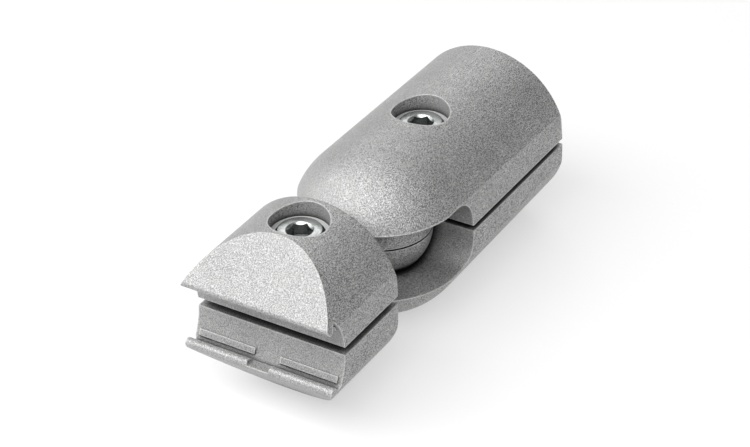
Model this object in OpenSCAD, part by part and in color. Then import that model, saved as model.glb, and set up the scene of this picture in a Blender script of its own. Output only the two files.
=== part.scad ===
// Swivel ball connector for grooved profile tubes, in millimetres.
// A split sleeve clamps the end of one tube and holds a split ball.
// The ball's neck carries a two-part saddle that hooks into the grooves of a second tube.
// The origin is the middle of the sleeve's mouth. +X runs through the ball to the saddle,
// +Z is the side of the screw heads, and both ends are drawn in line.

/* [Tube] */
// Diameter of the profile tubes
tube_d = 30; // [29:0.1:31]
// Radial play of the tube in the sleeve and on the saddle's pads
tube_play = 0.05; // [0.02:0.01:0.2]

/* [Sleeve] */
// Wall between the bore and the outside at the mouth
sleeve_wall = 4.95; // [4.5:0.05:6]
// Growth of the outside radius from the mouth to the ball
sleeve_draft = 0.5; // [0:0.1:1]
// Length of the bore, from the mouth to the stop shoulder
socket_l = 22.3; // [18:0.1:23]
// Width of the stop shoulder that the tube's end meets
stop_w = 1.05; // [0.8:0.05:2]
// Depth of the pocket behind the stop shoulder
stop_depth = 1.7; // [1:0.1:1.8]
// Lead-in chamfer of the bore
lead_in = 0.3; // [0.2:0.1:1.2]
// Chamfer on the outer edge of the mouth
mouth_chamfer = 0.35; // [0.2:0.05:0.8]
// Gap between the two shells
shell_gap = 1.4; // [0.4:0.1:1.8]
// Distance from the middle to the side flats, at the split
flat_y = 19.15; // [18.9:0.05:19.5]
// Draft of the upper shell's side flats
flat_draft = 4; // [1:0.5:6]

/* [Ball joint] */
// Distance from the mouth to the ball's centre
ball_x = 50; // [49:0.1:54]
// Diameter of the ball
ball_d = 23; // [22:0.1:23.6]
// Radial play of the ball in its seat
ball_play = 0.05; // [0.03:0.01:0.1]
// Gap between the two half balls
ball_gap = 0.4; // [0.35:0.05:0.8]
// Height of the slot that the neck swings in
slot_h = 16.9; // [16.6:0.1:18]
// Distance from the ball's centre back to the slot's end wall
slot_back = 7.75; // [7:0.05:8.2]
// Radius of the corners of the slot's end wall
slot_corner_r = 6; // [3:0.1:7]
// Play between the neck and the slot's end wall at full swing
neck_play = 0.6; // [0.2:0.05:0.8]

/* [Noses] */
// Angle of the tube's grooves below the mid-plane
groove_angle = 45; // [42:1:48]
// Distance from the mouth to the noses' pockets
nose_x = 4.4; // [3:0.1:6]
// Length of the pockets along the bore
nose_pocket_l = 6; // [5:0.1:7]
// Play between a nose and the pocket's walls
nose_play = 0.1; // [0.05:0.01:0.2]
// Depth of the pocket's floor below the bore
nose_seat = 1.55; // [1.2:0.05:1.9]
// Width of the pocket on the lower side of the groove line
pocket_low = 5.4; // [5:0.1:6]
// Width of the pocket on the upper side of the groove line
pocket_high = 8; // [6:0.1:8.2]
// Width of the nose on the upper side of the groove line
nose_high = 3.9; // [3:0.1:4.4]
// Height of the tooth above the bore
tooth_h = 2; // [1:0.1:2.4]
// Width of the tooth at its foot
tooth_w = 6.9; // [5:0.1:7.2]
// Slope of the tooth's lower flank
tooth_flank = 38; // [20:1:50]
// Bevel of the nose towards the mouth
nose_bevel = 1.6; // [0.8:0.1:2.4]

/* [Saddle] */
// Width of the saddle along the second tube
saddle_w = 37; // [34:0.5:38]
// Distance from the ball's centre to the saddle's rear face
saddle_back = 23.9; // [23:0.1:26]
// Distance from the ball's centre to the axis of the second tube
tube_dist = 60.4; // [59:0.1:63]
// Gap between the saddle's halves
saddle_gap = 2; // [1.6:0.1:3]
// Rounding of the crown's rear edge
rear_round = 1.2; // [0.6:0.1:2]
// Angle of the hook's middle, seen from the second tube's axis
hook_angle = 37.6; // [36:0.1:42]
// Reach of the hook's tip into the groove
hook_reach = 2.77; // [2:0.01:3.8]
// Thickness of the upper hook
hook_t = 1.7; // [1.4:0.1:3]
// Thickness of the lower hook
lower_hook_t = 2.3; // [1.6:0.1:3]
// Slope of the front planes
front_slope = 46.5; // [44:0.5:50]
// Width of the notch in the middle of the lower hook
notch_w = 6.3; // [4:0.1:10]
// Narrowing of the notch to each side, from its mouth to its floor
notch_taper = 0.5; // [0:0.1:1.5]
// Depth of the relief between the seat's pads
pad_h = 0.35; // [0.15:0.05:0.4]
// Angle above and below the mid-plane at which the pads begin
pad_from = 23; // [20:0.1:25]
// Angle at which the pads end
pad_to = 28.6; // [26:0.1:30]
// Margin between the pads and the flanks
pad_margin = 1; // [0.5:0.1:3]
// Widening of the neck at its root
neck_flare = 0.5; // [0.3:0.1:1.8]

/* [Screws] */
// Distance from the mouth to the sleeve's screw
sleeve_screw_x = 32.4; // [31.6:0.1:33]
// Distance from the ball's centre to the saddle's screw
saddle_screw_d = 32.4; // [31.5:0.1:33]
// Thread diameter
screw_d = 6; // [5:0.5:6]
// Length of the screws under the head
screw_l = 20; // [16:1:24]
// Diameter of the screw heads
head_d = 10; // [9:0.1:10.4]
// Height of the screw heads
head_h = 6; // [5:0.1:6.5]
// Width across the flats of the hexagon sockets
hex_af = 5; // [4:0.5:6]
// Depth of the hexagon sockets
hex_depth = 3; // [2:0.1:4]
// Radial lead-in of the hexagon sockets
hex_lead = 0.15; // [0.05:0.05:0.4]
// Edge chamfer of the heads
head_chamfer = 0.38; // [0.2:0.02:0.6]
// Height of the seats under the heads above the mid-plane
head_seat = 11; // [10:0.1:12]
// Radial play of the heads in the counterbores
head_play = 0.5; // [0.3:0.1:0.7]
// Radial play of the screws in the clearance holes
hole_play = 0.3; // [0.2:0.05:0.5]
// Step from the counterbore out to its wide mouth
ledge_w = 1.1; // [0.5:0.1:1.2]
// Depth of the ledge below the top of the head
ledge_drop = 1; // [0.5:0.1:2]
// Room under the screw's end in the blind hole
tap_run = 3; // [2:0.1:4]

/* [Bore marks] */
// Diameter of the locating hole in the lower bore
locating_d = 3; // [2:0.1:4]
// Distance from the mouth to the locating hole
locating_x = 10.9; // [10.6:0.1:14]
// Width of the rim round the locating hole
locating_rim = 0.6; // [0.3:0.1:1]
// Diameter of the ejector mark
ejector_d = 4.6; // [3:0.1:5]
// Distance from the mouth to the ejector mark
ejector_x = 4.5; // [4:0.1:5]

/* [Hidden] */
$fn = 96;

// Radii that follow from the driving sizes
bore_r = tube_d / 2 + tube_play;
mouth_r = bore_r + sleeve_wall;
dome_r = mouth_r + sleeve_draft;
stop_r = bore_r - stop_w;
ball_r = ball_d / 2;
neck_r = slot_back - neck_play;
relief_r = bore_r + pad_h;

// Places along X
saddle_x = ball_x + saddle_back;
tube_x = ball_x + tube_dist;
saddle_screw_x = ball_x + saddle_screw_d;

// The thread is drawn plain, at its mean diameter, in a hole of its full diameter
thread_d = 0.9 * screw_d;
plain_l = 3;
screw_end = head_seat - screw_l;
head_top = head_seat + head_h;

// Middle of the hook's round tip, and the direction square to the front plane
hook_r = hook_t / 2;
hook_polar = bore_r - hook_reach + hook_r;
hook_x = tube_x - hook_polar * cos(hook_angle);
hook_z = hook_polar * sin(hook_angle);
hook_root = 4;

// Floor of the notch, and where it meets the seat
notch_rise = 0.4;
notch_floor = hook_z - notch_rise;
notch_x = tube_x - sqrt(relief_r * relief_r - notch_floor * notch_floor);

// Depths of the marks in the bore, and how far cutting solids run past the faces
mark_depth = 0.2;
locating_depth = 2.5;
past = 1;
far = 40;

cast_colour = "silver";
nose_colour = "dimgray";
screw_colour = "lightsteelblue";

// Turns a flat half section, radius against distance, about the X axis
module revolve_x() {
    rotate([0, 90, 0]) rotate_extrude() children();
}

// Extrudes a side view, X against Z, evenly to both sides
module across(width) {
    rotate([90, 0, 0]) linear_extrude(height = width, center = true) children();
}

// Extrudes a cross section, Y against Z, along X
module along(from, to) {
    translate([from, 0, 0]) rotate([90, 0, 90]) linear_extrude(height = to - from) children();
}

// Everything above (side 1) or below (side -1) a plane that lies off the mid-plane
module half_space(side, off) {
    translate([-past, -far, side > 0 ? off : -off - far]) cube([4 * far, 2 * far, far]);
}

// Outer form of the sleeve: a drafted barrel that ends in a dome round the ball
module sleeve_form() {
    revolve_x() union() {
        polygon([
            [0, 0],
            [mouth_r - mouth_chamfer, 0],
            [mouth_r, mouth_chamfer],
            [dome_r, ball_x],
            [0, ball_x],
        ]);
        intersection() {
            translate([0, ball_x]) circle(r = dome_r);
            translate([0, ball_x]) square(dome_r + past);
        }
    }
}

// Cross section between the side flats, drafted on the upper shell only
module flats_section(side) {
    top_y = flat_y - far * tan(side > 0 ? flat_draft : 0);
    polygon([[-flat_y, 0], [flat_y, 0], [top_y, side * far], [-top_y, side * far]]);
}

// Stepped bore for the tube, with its lead-in and stop shoulder
module tube_bore() {
    revolve_x() polygon([
        [0, -past],
        [bore_r + lead_in + past, -past],
        [bore_r, lead_in],
        [bore_r, socket_l],
        [stop_r, socket_l],
        [stop_r, socket_l + stop_depth],
        [0, socket_l + stop_depth],
    ]);
}

// Slot for the neck, with rounded corners at its end wall
module neck_slot() {
    wall_x = ball_x - slot_back;
    corner_z = slot_h / 2 - slot_corner_r;
    across(2 * far) union() {
        translate([wall_x + slot_corner_r, -slot_h / 2]) square([far, slot_h]);
        translate([wall_x, -corner_z]) square([slot_corner_r + past, 2 * corner_z]);
        for (s = [-1, 1]) translate([wall_x + slot_corner_r, s * corner_z]) circle(r = slot_corner_r);
    }
}

// Stepped pocket for a screw head, and the clearance hole below it
module head_pocket() {
    ledge_z = head_top - ledge_drop;
    pocket_r = head_d / 2 + head_play;
    translate([0, 0, ledge_z]) cylinder(r = pocket_r + ledge_w, h = far);
    translate([0, 0, head_seat]) cylinder(r = pocket_r, h = far);
    cylinder(r = screw_d / 2 + hole_play, h = far);
}

// Blind threaded hole, drawn plain
module tapped_hole() {
    translate([0, 0, screw_end - tap_run]) cylinder(d = screw_d, h = far);
}

// Places its children in the frame of one groove: the groove's direction points down
module at_groove(side) {
    mirror([0, side > 0 ? 0 : 1, 0]) rotate([90 - groove_angle, 0, 0]) children();
}

// Pocket in the lower bore that holds a nose
module nose_pocket(side) {
    at_groove(side) translate([nose_x, -pocket_low, -bore_r - nose_seat])
        cube([nose_pocket_l, pocket_low + pocket_high, bore_r / 2]);
}

// Locating hole with its rim, and the round ejector mark, at the bottom of the bore
module bore_marks() {
    floor_z = -bore_r;
    translate([locating_x, 0, floor_z - locating_depth]) cylinder(d = locating_d, h = bore_r);
    translate([locating_x, 0, floor_z - mark_depth])
        cylinder(d = locating_d + 2 * locating_rim, h = bore_r);
    translate([ejector_x, 0, floor_z - mark_depth]) cylinder(d = ejector_d, h = bore_r);
}

// What both shells of the sleeve share
module sleeve_shell(side) {
    difference() {
        intersection() {
            sleeve_form();
            along(-past, ball_x + dome_r + past) flats_section(side);
            half_space(side, shell_gap / 2);
        }
        tube_bore();
        neck_slot();
        translate([ball_x, 0, 0]) sphere(r = ball_r + ball_play);
    }
}

module sleeve_upper_shell() {
    color(cast_colour) difference() {
        sleeve_shell(1);
        translate([sleeve_screw_x, 0, 0]) head_pocket();
    }
}

module sleeve_lower_shell() {
    color(cast_colour) difference() {
        sleeve_shell(-1);
        translate([sleeve_screw_x, 0, 0]) tapped_hole();
        nose_pocket(1);
        nose_pocket(-1);
        bore_marks();
    }
}

// Cross section of a nose: a foot flush with the bore, and a tooth with one sloping flank
module nose_section() {
    low = -pocket_low + nose_play;
    tooth_z = -bore_r + tooth_h;
    flank_run = (tooth_h + nose_seat) / tan(90 - tooth_flank);
    edge = 0.7;
    difference() {
        translate([low, -bore_r - nose_seat]) square([nose_high - low, bore_r / 2]);
        circle(r = bore_r);
    }
    polygon([
        [nose_high - tooth_w, -bore_r - nose_seat],
        [nose_high, -bore_r - nose_seat],
        [nose_high, tooth_z - edge],
        [nose_high - edge, tooth_z],
        [nose_high - tooth_w + flank_run, tooth_z],
    ]);
}

// Side view that bevels a nose towards the mouth
module nose_side() {
    foot_z = -bore_r - nose_seat;
    top_z = -bore_r + tooth_h;
    polygon([
        [nose_x + nose_play, foot_z],
        [nose_x + nose_pocket_l - nose_play, foot_z],
        [nose_x + nose_pocket_l - nose_play, top_z + past],
        [nose_x + nose_play + nose_bevel + past, top_z + past],
        [nose_x + nose_play, top_z - nose_bevel],
    ]);
}

module groove_nose(side) {
    color(nose_colour) at_groove(side) intersection() {
        along(nose_x, nose_x + nose_pocket_l) nose_section();
        across(2 * far) nose_side();
    }
}

module groove_nose_left() {
    groove_nose(1);
}

module groove_nose_right() {
    groove_nose(-1);
}

// Outer form of the saddle: a short barrel with a rounded rear edge
module saddle_barrel() {
    revolve_x() union() {
        translate([0, saddle_x]) square([mouth_r - rear_round, far]);
        translate([0, saddle_x + rear_round]) square([mouth_r, far]);
        translate([mouth_r - rear_round, saddle_x + rear_round]) circle(r = rear_round);
    }
}

// Side view of one half, drawn upwards: flat base, tube seat, hook and sloping front plane.
// A hook of another thickness keeps the front plane and grows inwards.
module saddle_side(tip_r) {
    tip_x = hook_x + hook_r * sin(front_slope);
    tip_z = hook_z + hook_r * cos(front_slope);
    mid_x = tip_x - tip_r * sin(front_slope);
    mid_z = tip_z - tip_r * cos(front_slope);
    difference() {
        polygon([
            [saddle_x - past, saddle_gap / 2],
            [tube_x, saddle_gap / 2],
            [tip_x, tip_z],
            [tip_x - far, tip_z + far * tan(front_slope)],
            [saddle_x - past, tip_z + far],
        ]);
        translate([tube_x, 0]) circle(r = relief_r);
    }
    translate([mid_x, mid_z]) circle(r = tip_r);
    translate([mid_x, mid_z]) rotate(180 - front_slope)
        translate([0, -tip_r]) square([hook_root, 2 * tip_r]);
}

// Narrow pads beside the hook's root, which the tube rests on
module seat_pads() {
    pad_l = (saddle_w - notch_w) / 2 - pad_margin;
    reach = 2 * bore_r;
    for (s = [-1, 1]) translate([0, s * (notch_w + pad_l) / 2, 0]) across(pad_l) difference() {
        intersection() {
            translate([tube_x, 0]) circle(r = relief_r + pad_h);
            polygon([
                [tube_x, 0],
                [tube_x - reach * cos(pad_from), reach * sin(pad_from)],
                [tube_x - reach * cos(pad_to), reach * sin(pad_to)],
            ]);
        }
        translate([tube_x, 0]) circle(r = bore_r);
    }
}

// Neck with its widened root
module neck() {
    revolve_x() polygon([
        [0, ball_x],
        [neck_r, ball_x],
        [neck_r, saddle_x - neck_flare],
        [neck_r + neck_flare, saddle_x],
        [neck_r + neck_flare, saddle_x + past],
        [0, saddle_x + past],
    ]);
}

// What both halves of the saddle share, drawn as the upper half
module saddle_half(tip_r) {
    intersection() {
        translate([ball_x, 0, 0]) sphere(r = ball_r);
        half_space(1, ball_gap / 2);
    }
    intersection() {
        neck();
        half_space(1, saddle_gap / 2);
    }
    intersection() {
        across(saddle_w) saddle_side(tip_r);
        saddle_barrel();
    }
    seat_pads();
}

module saddle_upper_half() {
    color(cast_colour) difference() {
        saddle_half(hook_r);
        translate([saddle_screw_x, 0, 0]) head_pocket();
    }
}

// Notch in the lower hook, narrower at its floor
module hook_notch() {
    top_z = hook_z - lower_hook_t;
    mouth = notch_w / 2;
    floor_y = mouth - notch_taper;
    along(notch_x, notch_x + far) polygon([
        [-floor_y, -notch_floor],
        [floor_y, -notch_floor],
        [mouth, -top_z],
        [-mouth, -top_z],
    ]);
}

module saddle_lower_half() {
    color(cast_colour) difference() {
        mirror([0, 0, 1]) saddle_half(lower_hook_t / 2);
        translate([saddle_screw_x, 0, 0]) tapped_hole();
        hook_notch();
    }
}

// Socket head cap screw with its seat at z = head_seat
module cap_screw() {
    socket_r = hex_af / 2 / cos(30);
    mouth = socket_r + hex_lead;
    tip = 0.6;
    color(screw_colour) difference() {
        rotate_extrude() polygon([
            [0, screw_end],
            [thread_d / 2 - tip, screw_end],
            [thread_d / 2, screw_end + tip],
            [thread_d / 2, head_seat - plain_l],
            [screw_d / 2, head_seat - plain_l],
            [screw_d / 2, head_seat],
            [head_d / 2, head_seat],
            [head_d / 2, head_top - head_chamfer],
            [head_d / 2 - head_chamfer, head_top],
            [0, head_top],
        ]);
        translate([0, 0, head_top - hex_depth]) cylinder(r = socket_r, h = head_h, $fn = 6);
        translate([0, 0, head_top - tip]) cylinder(r1 = mouth - tip, r2 = mouth + tip, h = 2 * tip);
    }
}

module sleeve_screw() {
    translate([sleeve_screw_x, 0, 0]) cap_screw();
}

module saddle_screw() {
    translate([saddle_screw_x, 0, 0]) cap_screw();
}

sleeve_lower_shell();
sleeve_upper_shell();
groove_nose_left();
groove_nose_right();
sleeve_screw();
saddle_lower_half();
saddle_upper_half();
saddle_screw();
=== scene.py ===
import math

import bpy
from mathutils import Matrix, Vector


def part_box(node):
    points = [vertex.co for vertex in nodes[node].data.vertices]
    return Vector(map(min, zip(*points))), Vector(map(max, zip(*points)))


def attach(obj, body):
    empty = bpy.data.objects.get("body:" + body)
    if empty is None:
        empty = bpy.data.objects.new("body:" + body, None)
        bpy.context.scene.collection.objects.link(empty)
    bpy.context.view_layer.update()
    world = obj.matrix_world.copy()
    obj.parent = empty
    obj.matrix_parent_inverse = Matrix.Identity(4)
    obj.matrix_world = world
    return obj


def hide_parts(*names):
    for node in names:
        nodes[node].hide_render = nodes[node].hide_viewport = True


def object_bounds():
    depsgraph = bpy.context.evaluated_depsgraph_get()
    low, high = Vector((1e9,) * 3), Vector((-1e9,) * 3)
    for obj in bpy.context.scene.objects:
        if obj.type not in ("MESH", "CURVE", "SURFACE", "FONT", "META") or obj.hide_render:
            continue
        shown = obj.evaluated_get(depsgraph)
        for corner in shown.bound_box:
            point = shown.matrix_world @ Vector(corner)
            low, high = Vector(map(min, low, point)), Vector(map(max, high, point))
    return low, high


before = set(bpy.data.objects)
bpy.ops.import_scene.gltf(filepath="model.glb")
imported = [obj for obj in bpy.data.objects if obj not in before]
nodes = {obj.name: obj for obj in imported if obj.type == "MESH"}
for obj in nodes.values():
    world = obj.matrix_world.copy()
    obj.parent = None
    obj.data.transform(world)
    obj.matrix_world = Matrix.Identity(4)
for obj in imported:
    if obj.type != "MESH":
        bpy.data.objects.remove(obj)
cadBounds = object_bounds()
print("frame loaded:", len(nodes), "solids")


# camera and light

view = {
    "eye": (0.4223, 0.2356, 0.2923),      # where the straight connector was seen from
    "aim": (0.0512, -0.0011, 0.0),        # middle of the picture
    "roll": 1.9,                          # degrees that the camera was tipped
    "lens": 113.6,                        # mm
    "sensor": 36,                         # mm, width
    "near": 0.01,                         # m, where the picture's depth starts
    "far": 20,                            # and ends
}

studio = {
    "skyPole": (0.25, -0.45, 0.86),       # the side of the room that is lightest
    "skyLight": 0.61,                     # its strength
    "skyDim": 0.05,                       # and that of the side away from it
    "skyFrom": -0.5,                      # how far towards the pole the light starts to rise
    "skyTo": 0.9,                         # and where it is full
    # above the saddle, on the far side of the dome, and behind the mouth
    "key": {"place": (0.41, -0.02, 0.53), "width": 1.05, "height": 0.36, "power": 5.2},
    "side": {"place": (0.26, -0.52, 0.22), "width": 0.50, "height": 0.36, "power": 1.0},
    "back": {"place": (-0.42, -0.26, 0.38), "width": 0.36, "height": 0.36, "power": 0.65},
    "floorSize": 6,
    "floorDrop": 0.0002,                  # room under the object
    "floorColour": (0.42, 0.42, 0.42, 1),
    "floorGlow": 0.55,                    # lifts the floor to white, also in gloss and glass
}


def addCamera():
    camera = bpy.data.objects.new("camera", bpy.data.cameras.new("camera"))
    bpy.context.scene.collection.objects.link(camera)
    eye, aim = Vector(view["eye"]), Vector(view["aim"])
    look = (aim - eye).to_track_quat("-Z", "Y").to_matrix().to_4x4()
    tip = Matrix.Rotation(math.radians(-view["roll"]), 4, "Z")
    camera.matrix_world = Matrix.Translation(eye) @ look @ tip
    camera.data.sensor_width = view["sensor"]
    camera.data.lens = view["lens"]
    camera.data.clip_start = view["near"]
    camera.data.clip_end = view["far"]
    bpy.context.scene.camera = camera


def addSoftbox(name, values):
    lamp = bpy.data.lights.new(name, "AREA")
    lamp.shape = "RECTANGLE"
    lamp.size = values["width"]
    lamp.size_y = values["height"]
    lamp.energy = values["power"]
    box = bpy.data.objects.new(name, lamp)
    bpy.context.scene.collection.objects.link(box)
    place = Vector(values["place"])
    look = (Vector(view["aim"]) - place).to_track_quat("-Z", "Y").to_matrix().to_4x4()
    box.matrix_world = Matrix.Translation(place) @ look


def seenDirectly(tree):
    # 1 for the eye and for what shows in gloss or through glass
    path = tree.nodes.new("ShaderNodeLightPath")
    total = path.outputs["Is Camera Ray"]
    for kind in ("Is Glossy Ray", "Is Transmission Ray"):
        more = tree.nodes.new("ShaderNodeMath")
        more.operation = "MAXIMUM"
        tree.links.new(total, more.inputs[0])
        tree.links.new(path.outputs[kind], more.inputs[1])
        total = more.outputs["Value"]
    return total


def addWorld():
    world = bpy.data.worlds.new("studio")
    bpy.context.scene.world = world
    world.use_nodes = True
    tree = world.node_tree
    tree.nodes.clear()
    place = tree.nodes.new("ShaderNodeTexCoord")
    facing = tree.nodes.new("ShaderNodeVectorMath")
    facing.operation = "DOT_PRODUCT"
    facing.inputs[1].default_value = studio["skyPole"]
    rise = tree.nodes.new("ShaderNodeMapRange")
    rise.inputs["From Min"].default_value = studio["skyFrom"]
    rise.inputs["From Max"].default_value = studio["skyTo"]
    rise.inputs["To Min"].default_value = studio["skyDim"]
    rise.inputs["To Max"].default_value = studio["skyLight"]
    glow = tree.nodes.new("ShaderNodeBackground")
    out = tree.nodes.new("ShaderNodeOutputWorld")
    link = tree.links.new
    link(place.outputs["Generated"], facing.inputs[0])
    link(facing.outputs["Value"], rise.inputs["Value"])
    link(rise.outputs["Result"], glow.inputs["Strength"])
    link(glow.outputs["Background"], out.inputs["Surface"])


def addFloor():
    bpy.ops.object.select_all(action="DESELECT")
    level = cadBounds[0][2] - studio["floorDrop"]
    bpy.ops.mesh.primitive_plane_add(size=studio["floorSize"], location=(0, 0, level))
    floor = bpy.context.object
    floor.name = "studio_floor"
    paint = bpy.data.materials.new("floor_paint")
    paint.use_nodes = True
    tree = paint.node_tree
    tree.nodes.clear()
    matt = tree.nodes.new("ShaderNodeBsdfDiffuse")
    matt.inputs["Color"].default_value = studio["floorColour"]
    glow = tree.nodes.new("ShaderNodeEmission")
    glow.inputs["Strength"].default_value = studio["floorGlow"]
    both = tree.nodes.new("ShaderNodeAddShader")
    choose = tree.nodes.new("ShaderNodeMixShader")
    side = tree.nodes.new("ShaderNodeNewGeometry")
    clear = tree.nodes.new("ShaderNodeBsdfTransparent")   # the floor as it is seen from below
    under = tree.nodes.new("ShaderNodeMixShader")
    out = tree.nodes.new("ShaderNodeOutputMaterial")
    link = tree.links.new
    link(matt.outputs["BSDF"], both.inputs[0])
    link(glow.outputs["Emission"], both.inputs[1])
    link(seenDirectly(tree), choose.inputs["Fac"])
    link(matt.outputs["BSDF"], choose.inputs[1])
    link(both.outputs["Shader"], choose.inputs[2])
    link(side.outputs["Backfacing"], under.inputs["Fac"])
    link(choose.outputs["Shader"], under.inputs[1])
    link(clear.outputs["BSDF"], under.inputs[2])
    link(under.outputs["Shader"], out.inputs["Surface"])
    floor.data.materials.append(paint)


addCamera()
for softbox in ("key", "side", "back"):
    addSoftbox(softbox + "_softbox", studio[softbox])
addWorld()
addFloor()
bpy.context.scene.view_settings.view_transform = "Standard"
print("camera, softboxes and floor set")


# node groups that several finishes use

def newGroup(name, given, labels):
    # one number goes in, and one mask or height comes out for each label
    group = bpy.data.node_groups.new(name, "ShaderNodeTree")
    label, value = given
    socket = group.interface.new_socket(name=label, in_out="INPUT", socket_type="NodeSocketFloat")
    socket.default_value = value
    for label in labels:
        group.interface.new_socket(name=label, in_out="OUTPUT", socket_type="NodeSocketFloat")
    return group, group.nodes.new("NodeGroupInput"), group.nodes.new("NodeGroupOutput")


def feed(tree, socket, value):
    # a fixed value is set on the socket, and anything else is linked to it
    if isinstance(value, (int, float, tuple)):
        socket.default_value = value
    else:
        tree.links.new(value, socket)


def mathNode(tree, operation, first, second, clamp=False):
    node = tree.nodes.new("ShaderNodeMath")
    node.operation = operation
    node.use_clamp = clamp
    feed(tree, node.inputs[0], first)
    feed(tree, node.inputs[1], second)
    return node.outputs["Value"]


def sine(tree, value):
    node = tree.nodes.new("ShaderNodeMath")
    node.operation = "SINE"
    tree.links.new(value, node.inputs[0])
    return node.outputs["Value"]


def times(tree, first, second):
    return mathNode(tree, "MULTIPLY", first, second)


def rangeNode(tree, value, low, high, outLow=0.0, outHigh=1.0):
    node = tree.nodes.new("ShaderNodeMapRange")
    tree.links.new(value, node.inputs["Value"])
    node.inputs["From Min"].default_value = low
    node.inputs["From Max"].default_value = high
    node.inputs["To Min"].default_value = outLow
    node.inputs["To Max"].default_value = outHigh
    return node.outputs["Result"]


def placed(tree, coords, location=(0, 0, 0), turn=(0, 0, 0), scale=(1, 1, 1)):
    node = tree.nodes.new("ShaderNodeMapping")
    node.inputs["Location"].default_value = location
    node.inputs["Rotation"].default_value = [math.radians(angle) for angle in turn]
    node.inputs["Scale"].default_value = scale
    tree.links.new(coords, node.inputs["Vector"])
    return node.outputs["Vector"]


def lengthOf(tree, vector):
    node = tree.nodes.new("ShaderNodeVectorMath")
    node.operation = "LENGTH"
    tree.links.new(vector, node.inputs[0])
    return node.outputs["Value"]


def fromScrewAxis(tree, coords, middle):
    return lengthOf(tree, placed(tree, coords, location=(-middle, 0, 0), scale=(1, 1, 0)))


def alongAxes(tree, vector):
    node = tree.nodes.new("ShaderNodeSeparateXYZ")
    tree.links.new(vector, node.inputs["Vector"])
    return node.outputs


def noiseNode(tree, coords, scale, detail, rough=0.5):
    node = tree.nodes.new("ShaderNodeTexNoise")
    tree.links.new(coords, node.inputs["Vector"])
    node.inputs["Scale"].default_value = scale
    node.inputs["Detail"].default_value = detail
    node.inputs["Roughness"].default_value = rough
    return node.outputs["Fac"]


# scales are in grains to a metre, and pairs are where a mask starts and where it is full
grain = {
    "fineScale": 7400,
    "fineRough": 0.6,
    "coarseScale": 4200,
    "coarseRough": 0.55,
    "evenMix": 0.5,                       # half of each
    "contrast": (0.42, 0.60),
    "grazedSide": (-0.25, 0.85, 0.10),     # the side where light grazes and brings the grain out; its contrast is painted stronger there
    "sideShare": (-0.5, 0.5),
    "grainOffGrazedSide": 0.35,                    # share of the grain on the other side
    "flakeScale": 4200,
    "flakeShare": (0.84, 1.0),            # only the brightest flakes show
    "cloudScale": 110,
    "cloudRough": 0.6,
    "scratchTurns": (24, -38),            # degrees
    "scratchScale": (240, 3600, 3600),
    "scratchShare": (0.68, 0.72),
    "patchScale": 130,
    "patchShare": (0.50, 0.60),
    "scratchDepth": 0.8,
    "scratchShine": 1.2,
}


def scratchLines(tree, coords, turn):
    # thin broken lines that run across the piece at one angle
    drawn = placed(tree, coords, turn=(0, 0, turn), scale=grain["scratchScale"])
    lines = noiseNode(tree, drawn, 1.0, 1)
    patches = rangeNode(tree, noiseNode(tree, coords, grain["patchScale"], 1), *grain["patchShare"])
    return times(tree, rangeNode(tree, lines, *grain["scratchShare"]), patches)


def blastedGrain():
    # skin of blasted die-cast: fine pits, bright flakes, slow clouds and hair scratches; the grain's
    # contrast and flakes are painted stronger on the side where light grazes
    labels = ("Speckle", "Sparkle", "Height", "Cloud", "Amount")
    group, start, end = newGroup("blasted_grain", ("Scratches", 1.0), labels)
    place = group.nodes.new("ShaderNodeTexCoord")
    coords = place.outputs["Object"]
    fine = noiseNode(group, coords, grain["fineScale"], 1, grain["fineRough"])
    coarse = noiseNode(group, coords, grain["coarseScale"], 1, grain["coarseRough"])
    share = grain["evenMix"]
    mixed = mathNode(group, "ADD", times(group, fine, share), times(group, coarse, share))
    speckle = rangeNode(group, mixed, *grain["contrast"])
    side = group.nodes.new("ShaderNodeVectorMath")
    side.operation = "DOT_PRODUCT"
    side.inputs[1].default_value = grain["grazedSide"]
    group.links.new(place.outputs["Normal"], side.inputs[0])
    # grain contrast painted stronger on the side where light grazes
    grazeContrast = rangeNode(group, side.outputs["Value"], *grain["sideShare"], grain["grainOffGrazedSide"])
    flakes = group.nodes.new("ShaderNodeTexVoronoi")
    flakes.inputs["Scale"].default_value = grain["flakeScale"]
    group.links.new(coords, flakes.inputs["Vector"])
    tone = group.nodes.new("ShaderNodeSeparateColor")
    group.links.new(flakes.outputs["Color"], tone.inputs["Color"])
    sparkle = times(group, rangeNode(group, tone.outputs["Red"], *grain["flakeShare"]), grazeContrast)
    cloud = noiseNode(group, coords, grain["cloudScale"], 3, grain["cloudRough"])
    lines = [scratchLines(group, coords, turn) for turn in grain["scratchTurns"]]
    scratches = times(group, mathNode(group, "ADD", *lines, clamp=True), start.outputs["Scratches"])
    height = mathNode(group, "SUBTRACT", speckle, times(group, scratches, grain["scratchDepth"]))
    sparkle = mathNode(group, "ADD", sparkle, times(group, scratches, grain["scratchShine"]), clamp=True)
    for label, value in zip(labels, (speckle, sparkle, height, cloud, grazeContrast)):
        group.links.new(value, end.inputs[label])
    return group


edgeShading = {
    "edgeReach": 0.0004,                  # how far in from an edge the painted highlight reaches
    "edgeShare": (0.92, 0.55),
    "edgeSamples": 8,
    "noiseShare": (0.1, 0.6),             # breaks the painted edge highlight up
    "faintest": 0.55,
    "cornerReach": 0.0035,                # how far out of a corner the painted shade reaches
    "cornerShare": (0.85, 0.30),
    "gapShare": (0.57, 0.36),
    "cornerSamples": 12,
    "bevelSamples": 6,
}


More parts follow.
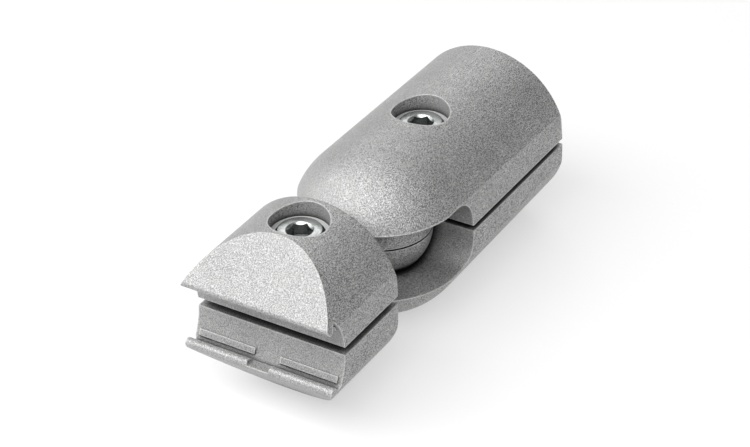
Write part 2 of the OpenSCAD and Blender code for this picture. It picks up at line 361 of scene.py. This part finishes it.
def edgeHighlightAndShade():
    # 1 on outward edges, for a painted highlight where light catches them, 1 in corners, for painted
    # shade, and 1 deep in a narrow gap, for painted shade where no light comes
    labels = ("Edge", "CornerShade", "Gap")
    group, start, end = newGroup("edge_highlight_and_shade", ("Noise", 0.5), labels)
    inner = group.nodes.new("ShaderNodeAmbientOcclusion")
    inner.inside = True
    inner.samples = edgeShading["edgeSamples"]
    inner.inputs["Distance"].default_value = edgeShading["edgeReach"]
    edge = rangeNode(group, inner.outputs["AO"], *edgeShading["edgeShare"])
    uneven = rangeNode(group, start.outputs["Noise"], *edgeShading["noiseShare"], edgeShading["faintest"], 1.0)
    broken = mathNode(group, "MULTIPLY", edge, uneven, clamp=True)
    outer = group.nodes.new("ShaderNodeAmbientOcclusion")
    outer.samples = edgeShading["cornerSamples"]
    outer.inputs["Distance"].default_value = edgeShading["cornerReach"]
    corner = rangeNode(group, outer.outputs["AO"], *edgeShading["cornerShare"])
    gap = rangeNode(group, outer.outputs["AO"], *edgeShading["gapShare"])
    for label, value in zip(labels, (broken, corner, gap)):
        group.links.new(value, end.inputs[label])
    return group


grainGroup = blastedGrain()
highlightShadeGroup = edgeHighlightAndShade()


# finishes of the solids

def newFinish(name, roughness, metallic):
    finish = bpy.data.materials.new(name)
    finish.use_nodes = True
    shader = finish.node_tree.nodes["Principled BSDF"]
    shader.inputs["Roughness"].default_value = roughness
    shader.inputs["Metallic"].default_value = metallic
    return finish, finish.node_tree, shader


def placeGroup(tree, group, **values):
    node = tree.nodes.new("ShaderNodeGroup")
    node.node_tree = group
    for label, value in values.items():
        node.inputs[label].default_value = value
    return node


def highlightShadeMasks(tree, noise):
    node = placeGroup(tree, highlightShadeGroup)
    tree.links.new(noise, node.inputs["Noise"])
    return node.outputs


def mixColour(tree, factor, first, second):
    node = tree.nodes.new("ShaderNodeMix")
    node.data_type = "RGBA"
    feed(tree, node.inputs["Factor"], factor)
    feed(tree, node.inputs[6], first)
    feed(tree, node.inputs[7], second)
    return node.outputs[2]


def roundAndBump(tree, shader, radius, height, strength, distance):
    # rounds the sharp edges in the shading and adds the grain on top
    soft = tree.nodes.new("ShaderNodeBevel")
    soft.samples = edgeShading["bevelSamples"]
    soft.inputs["Radius"].default_value = radius
    bump = tree.nodes.new("ShaderNodeBump")
    bump.inputs["Strength"].default_value = strength
    bump.inputs["Distance"].default_value = distance
    tree.links.new(height, bump.inputs["Height"])
    tree.links.new(soft.outputs["Normal"], bump.inputs["Normal"])
    tree.links.new(bump.outputs["Normal"], shader.inputs["Normal"])


casting = {
    "plain": (0.44, 0.44, 0.438, 1),
    "dark": (0.11, 0.11, 0.11, 1),
    "light": (0.76, 0.76, 0.755, 1),
    # paler tone for the flakes, and painted highlight on outward edges
    "sparkle_and_edge_highlight": (0.88, 0.88, 0.87, 1),
    # painted shade in corners
    "corner": (0.16, 0.16, 0.16, 1),
    "gap": (0.012, 0.012, 0.012, 1),
    "flakes": 0.52,                       # shares of each mask that show
    "clouds": 0.14,
    "cloudShare": (0.3, 0.7),
    "corners": 0.6,
    "edges": 0.75,
    "roughness": 0.43,
    "metallic": 0.55,
    "edgeRadius": 0.00025,
    "grainStrength": 0.8,
    "grainDepth": 0.00004,
}

sleeveCuts = {
    "mouth": (0.86, 0.86, 0.85, 1),       # painted highlight on the mouth's end face, which faces the key light
    "mouthDepth": 0.0003,
    "mouthFull": 0.8,                     # share of that depth where the face is fully painted pale
    "mouthFacing": (-0.80, -0.95),
    "strokeTurn": 6,                      # degrees
    "strokeScale": (1, 5200, 420),
    "strokeShare": (0.35, 0.65),
    "strokeFaintest": 0.55,
    "strokeRough": 0.6,
    "inside": (0.10, 0.10, 0.10, 1),      # the bore's inside, painted darker
    "insideShare": 0.6,
    "boreRadius": 0.0152,
    "boreEnd": 0.0285,
    "wallFade": 0.0001,                   # half the width of the skin's border
    "endFade": 0.001,
}

screwPocket = {
    "ledge": (0.80, 0.80, 0.79, 1),       # painted highlight on the ledge round the screw's head
    "height": 0.016,
    "radius": 0.0067,
    "fade": 0.0001,
    "facing": (0.90, 0.97),
    "band": (0.0003, 0.0002),             # how far above and below the ledge its mask fades
}


def paintLedgeHighlight(tree, colour, middle):
    # a painted highlight on the ledge round the head, so it shines in its dark pocket
    place = tree.nodes.new("ShaderNodeTexCoord")
    coords = place.outputs["Object"]
    radius = fromScrewAxis(tree, coords, middle)
    height = alongAxes(tree, coords)["Z"]
    facing = alongAxes(tree, place.outputs["Normal"])["Z"]
    reach = screwPocket["radius"]
    level = screwPocket["height"]
    outer, inner = screwPocket["band"]
    mask = rangeNode(tree, radius, reach, reach - screwPocket["fade"])
    mask = times(tree, mask, rangeNode(tree, facing, *screwPocket["facing"]))
    mask = times(tree, mask, rangeNode(tree, height, level - outer, level - inner))
    mask = times(tree, mask, rangeNode(tree, height, level + outer, level + inner))
    return mixColour(tree, mask, colour, screwPocket["ledge"])


def mouthHighlightAndDarkerBore(tree, colour):
    # lays a painted highlight on the mouth face and paints the inside of the bore darker, over the
    # sleeve's colour
    place = tree.nodes.new("ShaderNodeTexCoord")
    coords = place.outputs["Object"]
    radius = lengthOf(tree, placed(tree, coords, scale=(0, 1, 1)))
    along = alongAxes(tree, coords)["X"]
    facing = alongAxes(tree, place.outputs["Normal"])["X"]
    bore, wallFade = sleeveCuts["boreRadius"], sleeveCuts["wallFade"]
    end, endFade = sleeveCuts["boreEnd"], sleeveCuts["endFade"]
    # the inside of the bore is painted darker
    inside = rangeNode(tree, radius, bore + wallFade, bore - wallFade, 0.0, sleeveCuts["insideShare"])
    inside = times(tree, inside, rangeNode(tree, along, end + endFade, end - endFade))
    colour = mixColour(tree, inside, colour, sleeveCuts["inside"])
    # painted highlight on the mouth's end face, broken up by faint strokes
    depth = sleeveCuts["mouthDepth"]
    mouth = rangeNode(tree, facing, *sleeveCuts["mouthFacing"])
    mouth = times(tree, mouth, rangeNode(tree, along, depth, depth * sleeveCuts["mouthFull"]))
    turn = (sleeveCuts["strokeTurn"], 0, 0)
    strokes = placed(tree, coords, turn=turn, scale=sleeveCuts["strokeScale"])
    lines = noiseNode(tree, strokes, 1.0, 2, sleeveCuts["strokeRough"])
    lines = rangeNode(tree, lines, *sleeveCuts["strokeShare"], sleeveCuts["strokeFaintest"], 1.0)
    return mixColour(tree, times(tree, mouth, lines), colour, sleeveCuts["mouth"])


def castFinish(name, middle, scratches, withBore=False):
    finish, tree, shader = newFinish(name, casting["roughness"], casting["metallic"])
    grains = placeGroup(tree, grainGroup, Scratches=scratches).outputs
    masks = highlightShadeMasks(tree, grains["Speckle"])
    colour = mixColour(tree, grains["Speckle"], casting["dark"], casting["light"])
    # grain contrast painted stronger on the side where light grazes
    colour = mixColour(tree, grains["Amount"], casting["plain"], colour)
    colour = mixColour(tree, times(tree, grains["Sparkle"], casting["flakes"]), colour, casting["sparkle_and_edge_highlight"])
    clouds = rangeNode(tree, grains["Cloud"], *casting["cloudShare"], 0.0, casting["clouds"])
    colour = mixColour(tree, clouds, colour, casting["dark"])
    # painted shade in corners and recesses
    colour = mixColour(tree, times(tree, masks["CornerShade"], casting["corners"]), colour, casting["corner"])
    # painted highlight along outward edges
    colour = mixColour(tree, times(tree, masks["Edge"], casting["edges"]), colour, casting["sparkle_and_edge_highlight"])
    if withBore:
        # painted highlight on the mouth face, darker inside the bore
        colour = mouthHighlightAndDarkerBore(tree, colour)
    colour = mixColour(tree, masks["Gap"], colour, casting["gap"])
    # painted highlight on the ledge round the screw's head
    colour = paintLedgeHighlight(tree, colour, middle)
    tree.links.new(colour, shader.inputs["Base Color"])
    roundAndBump(tree, shader, casting["edgeRadius"], grains["Height"],
                 casting["grainStrength"], casting["grainDepth"])
    return finish


nose = {
    "colour": (0.16, 0.16, 0.165, 1),
    # paler patches, and painted highlight on the edges
    "pale_patch_and_edge_highlight": (0.30, 0.30, 0.30, 1),
    "cloudScale": 700,
    "cloudShare": (0.35, 0.65),
    "clouds": 0.3,                        # shares of each mask that show
    "edges": 0.7,
    "roughness": 0.42,
    "bumpStrength": 0.15,
    "bumpDepth": 0.00003,
    "edgeRadius": 0.0004,
    "edgeSteps": 4,
    "edgeAngle": 25,                      # degrees, past which an edge is rounded
    "flatAngle": 1,
    "smoothAngle": 40,
}


def noseFinish():
    finish, tree, shader = newFinish("moulded_nose", nose["roughness"], 0.0)
    coords = tree.nodes.new("ShaderNodeTexCoord").outputs["Object"]
    cloud = noiseNode(tree, coords, nose["cloudScale"], 3)
    masks = highlightShadeMasks(tree, cloud)
    clouds = rangeNode(tree, cloud, *nose["cloudShare"], 0.0, nose["clouds"])
    colour = mixColour(tree, clouds, nose["colour"], nose["pale_patch_and_edge_highlight"])
    # painted highlight along the nose's edges
    colour = mixColour(tree, times(tree, masks["Edge"], nose["edges"]), colour, nose["pale_patch_and_edge_highlight"])
    tree.links.new(colour, shader.inputs["Base Color"])
    roundAndBump(tree, shader, nose["edgeRadius"], cloud, nose["bumpStrength"], nose["bumpDepth"])
    return finish


plating = {
    "zinc": (0.50, 0.52, 0.51, 1),
    "shade": (0.34, 0.36, 0.35, 1),
    # painted shade in the socket
    "socketShade": (0.05, 0.05, 0.055, 1),
    "cloudScale": 900,
    "cloudShare": (0.35, 0.7),
    "corners": 0.85,                      # shares of each mask that show
    "edges": 0.6,
    "roughness": 0.27,
    "ringScale": 42000,                   # turned rings on the head
    "edgeRadius": 0.00015,
    "bumpStrength": 0.2,
    "bumpDepth": 0.00001,
}


def screwFinish(name, middle):
    # zinc plating with turned rings on the head, painted shade in the socket
    finish, tree, shader = newFinish(name, plating["roughness"], 1.0)
    coords = tree.nodes.new("ShaderNodeTexCoord").outputs["Object"]
    radius = fromScrewAxis(tree, coords, middle)
    rings = sine(tree, times(tree, radius, plating["ringScale"]))
    cloud = noiseNode(tree, coords, plating["cloudScale"], 3)
    masks = highlightShadeMasks(tree, cloud)
    clouds = rangeNode(tree, cloud, *plating["cloudShare"])
    colour = mixColour(tree, clouds, plating["zinc"], plating["shade"])
    # painted shade in the socket and corners
    colour = mixColour(tree, times(tree, masks["CornerShade"], plating["corners"]), colour, plating["socketShade"])
    # painted highlight: outward edges lifted back to the bare zinc
    colour = mixColour(tree, times(tree, masks["Edge"], plating["edges"]), colour, plating["zinc"])
    tree.links.new(colour, shader.inputs["Base Color"])
    roundAndBump(tree, shader, plating["edgeRadius"], mathNode(tree, "ADD", rings, cloud),
                 plating["bumpStrength"], plating["bumpDepth"])
    return finish


def dress(node, finish):
    solid = nodes[node]
    solid.data.materials.clear()
    solid.data.materials.append(finish)


def middleOf(node):
    low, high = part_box(node)
    return (low.x + high.x) / 2


sleeveSkin = castFinish("sleeve_casting", middleOf("sleeve_screw"), scratches=1.0, withBore=True)
dress("sleeve_lower_shell", sleeveSkin)
dress("sleeve_upper_shell", sleeveSkin)
saddleSkin = castFinish("saddle_casting", middleOf("saddle_screw"), scratches=0.15)
dress("saddle_lower_half", saddleSkin)
dress("saddle_upper_half", saddleSkin)
noseSkin = noseFinish()
print("finishes on the solids")


# modelling steps that the new pieces share

samePoint = 1e-6      # points closer than this are merged
nearPoint = 1e-5      # and closer than this count as on a loop or rim


def onlyThis(piece):
    bpy.ops.object.select_all(action="DESELECT")
    piece.select_set(True)
    bpy.context.view_layer.objects.active = piece


def leaveEdit():
    bpy.ops.object.mode_set(mode="OBJECT")


def editOnly(piece, kind="VERT"):
    onlyThis(piece)
    bpy.context.tool_settings.mesh_select_mode = (kind == "VERT", kind == "EDGE", kind == "FACE")
    bpy.ops.object.mode_set(mode="EDIT")


def pick(piece, kind, test):
    # leaves only the points, edges or faces selected that pass the test, in edit mode
    if bpy.context.mode == "EDIT_MESH":
        leaveEdit()
    mesh = piece.data
    for items in (mesh.vertices, mesh.edges, mesh.polygons):
        for item in items:
            item.select = False
    for item in {"VERT": mesh.vertices, "EDGE": mesh.edges, "FACE": mesh.polygons}[kind]:
        item.select = test(item)
    editOnly(piece, kind)


def settle(piece):
    # puts the object's place and turn into its mesh
    onlyThis(piece)
    bpy.ops.object.transform_apply(location=True, rotation=True, scale=True)


def applyModifier(piece, modifier):
    onlyThis(piece)
    bpy.ops.object.modifier_apply(modifier=modifier.name)


def cutAway(piece, cutter):
    cut = piece.modifiers.new("cut", "BOOLEAN")
    cut.operation = "DIFFERENCE"
    cut.solver = "EXACT"
    cut.object = cutter
    applyModifier(piece, cut)
    bpy.data.objects.remove(cutter)


def joinAll(pieces):
    bpy.ops.object.select_all(action="DESELECT")
    for piece in pieces:
        piece.select_set(True)
    bpy.context.view_layer.objects.active = pieces[0]
    bpy.ops.object.join()
    return pieces[0]


# cap screws, modelled once with the axis on Z

capScrew = {
    "seat": 0.011,             # underside of the head above the split
    "headHeight": 0.006,
    "headRadius": 0.005,
    "rim": 0.00035,            # rounding of the head's upper edge
    "rimSteps": 4,
    "flutes": 48,              # knurl on the head's side
    "fluteDepth": 0.03,        # share of the radius
    "fluteFrom": 0.0005,       # plain bands below and above the knurl
    "fluteTo": 0.0009,
    "hexRadius": 0.002887,     # 5 mm across the flats
    "hexDepth": 0.003,
    "hexTurn": 30,             # degrees
    "hexCorner": 0.00009,
    "hexCornerSteps": 3,
    "leadIn": 0.00015,
    "leadInReach": 0.0006,     # half the height of the cone that cuts it
    "leadInSides": 96,
    "drillDepth": 0.0008,      # cone at the bottom of the socket
    "drillShare": 0.82,        # of the hexagon's radius
    "drillDrop": 0.49,         # share of its depth that it sits lower
    "drillSides": 48,
    "plainRadius": 0.003,
    "plainLength": 0.003,
    "crest": 0.00278,
    "root": 0.00238,
    "pitch": 0.001,
    "end": -0.009,
    "tip": 0.0006,
    "shankSides": 64,
    "bury": 0.0003,            # how far the shank's parts run into their neighbours
    "threadBury": 0.0001,
    "threadSteps": 32,         # in one turn
    "spareTurns": 2,           # cut off again at the ends
    "smoothAngle": 35,
}


def screwHead():
    low = capScrew["seat"]
    high = low + capScrew["headHeight"]
    bpy.ops.object.select_all(action="DESELECT")
    bpy.ops.mesh.primitive_cylinder_add(vertices=2 * capScrew["flutes"], radius=capScrew["headRadius"],
                                        depth=capScrew["headHeight"], location=(0, 0, (low + high) / 2))
    head = bpy.context.object
    settle(head)
    loops = (low + capScrew["fluteFrom"], high - capScrew["fluteTo"])
    editOnly(head)
    for height in loops:
        bpy.ops.mesh.select_all(action="SELECT")
        bpy.ops.mesh.bisect(plane_co=(0, 0, height), plane_no=(0, 0, 1))
    step = math.pi / capScrew["flutes"]

    def inFlute(point):
        onLoop = min(abs(point.co.z - height) for height in loops) < nearPoint
        return onLoop and round(math.atan2(point.co.y, point.co.x) / step) % 2 == 0

    pick(head, "VERT", inFlute)
    shrink = 1 - capScrew["fluteDepth"]
    bpy.ops.transform.resize(value=(shrink, shrink, 1), center_override=(0, 0, 0))

    def onTopRim(edge):
        ends = [head.data.vertices[i].co for i in edge.vertices]
        return all(abs(end.z - high) < nearPoint for end in ends)

    pick(head, "EDGE", onTopRim)
    bpy.ops.mesh.bevel(offset=capScrew["rim"], segments=capScrew["rimSteps"], affect="EDGES")
    leaveEdit()
    return head


def cutSocket(head):
    top = capScrew["seat"] + capScrew["headHeight"]
    depth = capScrew["hexDepth"]
    bpy.ops.object.select_all(action="DESELECT")
    bpy.ops.mesh.primitive_cylinder_add(vertices=6, radius=capScrew["hexRadius"], depth=2 * depth,
                                        location=(0, 0, top),
                                        rotation=(0, 0, math.radians(capScrew["hexTurn"])))
    hexagon = bpy.context.object
    settle(hexagon)

    def standing(edge):
        first, second = (hexagon.data.vertices[i].co for i in edge.vertices)
        return abs(first.z - second.z) > depth

    pick(hexagon, "EDGE", standing)
    bpy.ops.mesh.bevel(offset=capScrew["hexCorner"], segments=capScrew["hexCornerSteps"],
                       affect="EDGES")
    leaveEdit()
    cutAway(head, hexagon)
    reach = capScrew["leadInReach"]
    mouth = capScrew["hexRadius"] + capScrew["leadIn"]
    bpy.ops.mesh.primitive_cone_add(vertices=capScrew["leadInSides"], radius1=mouth - reach,
                                    radius2=mouth + reach, depth=2 * reach, location=(0, 0, top))
    cone = bpy.context.object
    settle(cone)
    cutAway(head, cone)
    drillDepth = capScrew["drillDepth"]
    bottom = top - depth - capScrew["drillDrop"] * drillDepth
    bpy.ops.mesh.primitive_cone_add(vertices=capScrew["drillSides"], radius1=0,
                                    radius2=capScrew["hexRadius"] * capScrew["drillShare"],
                                    depth=drillDepth, location=(0, 0, bottom))
    drill = bpy.context.object
    settle(drill)
    cutAway(head, drill)


def screwShank():
    seat = capScrew["seat"]
    plain = capScrew["plainLength"]
    sides = capScrew["shankSides"]
    bury = capScrew["bury"]
    bpy.ops.mesh.primitive_cylinder_add(vertices=sides, radius=capScrew["plainRadius"],
                                        depth=plain + bury,
                                        location=(0, 0, seat - (plain - bury) / 2))
    shank = bpy.context.object
    settle(shank)
    root = capScrew["root"]
    tip = capScrew["tip"]
    bpy.ops.mesh.primitive_cone_add(vertices=sides, radius1=root - tip, radius2=root,
                                    depth=tip + bury,
                                    location=(0, 0, capScrew["end"] + (tip + bury) / 2))
    point = bpy.context.object
    settle(point)
    return [shank, point]


def screwThread():
    # one turn's V profile, wound up the shank and cut level at both ends
    pitch = capScrew["pitch"]
    root = capScrew["root"]
    low = capScrew["end"] + capScrew["tip"]
    high = capScrew["seat"] - capScrew["plainLength"] + capScrew["threadBury"]
    turns = math.ceil((high - low) / pitch) + capScrew["spareTurns"]
    bpy.ops.object.select_all(action="DESELECT")
    bpy.ops.mesh.primitive_circle_add(vertices=4, radius=pitch / 2,
                                      rotation=(math.radians(90), 0, 0),
                                      location=(root, 0, low - pitch))
    thread = bpy.context.object
    settle(thread)
    editOnly(thread)
    bpy.ops.mesh.select_all(action="SELECT")
    bpy.ops.transform.resize(value=(2 * (capScrew["crest"] - root) / pitch, 1, 1),
                             center_override=(root, 0, low - pitch))
    pick(thread, "VERT", lambda point: point.co.x < root - nearPoint)
    bpy.ops.mesh.delete(type="VERT")
    leaveEdit()
    wind = thread.modifiers.new("wind", "SCREW")
    wind.axis = "Z"
    wind.angle = 2 * math.pi
    wind.screw_offset = pitch
    wind.iterations = turns
    wind.steps = capScrew["threadSteps"]
    wind.render_steps = capScrew["threadSteps"]
    applyModifier(thread, wind)
    editOnly(thread)
    bpy.ops.mesh.select_all(action="SELECT")
    bpy.ops.mesh.remove_doubles(threshold=samePoint)
    bpy.ops.mesh.bisect(plane_co=(0, 0, low), plane_no=(0, 0, 1), use_fill=True,
                        clear_inner=True)
    bpy.ops.mesh.select_all(action="SELECT")
    bpy.ops.mesh.bisect(plane_co=(0, 0, high), plane_no=(0, 0, 1), use_fill=True,
                        clear_outer=True)
    bpy.ops.mesh.select_all(action="SELECT")
    bpy.ops.mesh.normals_make_consistent(inside=False)
    leaveEdit()
    return thread


def makeCapScrew():
    head = screwHead()
    cutSocket(head)
    piece = joinAll([head] + screwShank() + [screwThread()])
    piece.name = "cap_screw"
    return piece


def placeScrew(pattern, name, node, body):
    piece = pattern.copy()
    piece.data = pattern.data.copy()
    piece.name = name
    bpy.context.scene.collection.objects.link(piece)
    piece.location.x = middleOf(node)
    settle(piece)
    piece.data.materials.clear()
    piece.data.materials.append(screwFinish(name + "_zinc", middleOf(node)))
    bpy.ops.object.shade_smooth_by_angle(angle=math.radians(capScrew["smoothAngle"]))
    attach(piece, body)
    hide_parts(node)


pattern = makeCapScrew()
placeScrew(pattern, "sleeve_cap_screw", "sleeve_screw", "sleeve_bolt")
placeScrew(pattern, "saddle_cap_screw", "saddle_screw", "saddle_bolt")
bpy.data.objects.remove(pattern)
print("cap screws modelled")


# noses: the solids' own shape with its edges rounded as they are moulded

def roundNose(name, node):
    piece = nodes[node].copy()
    piece.data = nodes[node].data.copy()
    piece.name = name
    bpy.context.scene.collection.objects.link(piece)
    editOnly(piece)
    bpy.ops.mesh.select_all(action="SELECT")
    bpy.ops.mesh.remove_doubles(threshold=samePoint)
    bpy.ops.mesh.dissolve_limited(angle_limit=math.radians(nose["flatAngle"]))
    leaveEdit()
    edges = piece.modifiers.new("edges", "BEVEL")
    edges.width = nose["edgeRadius"]
    edges.segments = nose["edgeSteps"]
    edges.limit_method = "ANGLE"
    edges.angle_limit = math.radians(nose["edgeAngle"])
    applyModifier(piece, edges)
    bpy.ops.object.shade_smooth_by_angle(angle=math.radians(nose["smoothAngle"]))
    piece.data.materials.clear()
    piece.data.materials.append(noseSkin)
    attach(piece, "sleeve_base")
    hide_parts(node)


roundNose("moulded_nose_left", "groove_nose_left")
roundNose("moulded_nose_right", "groove_nose_right")
print("noses rounded")
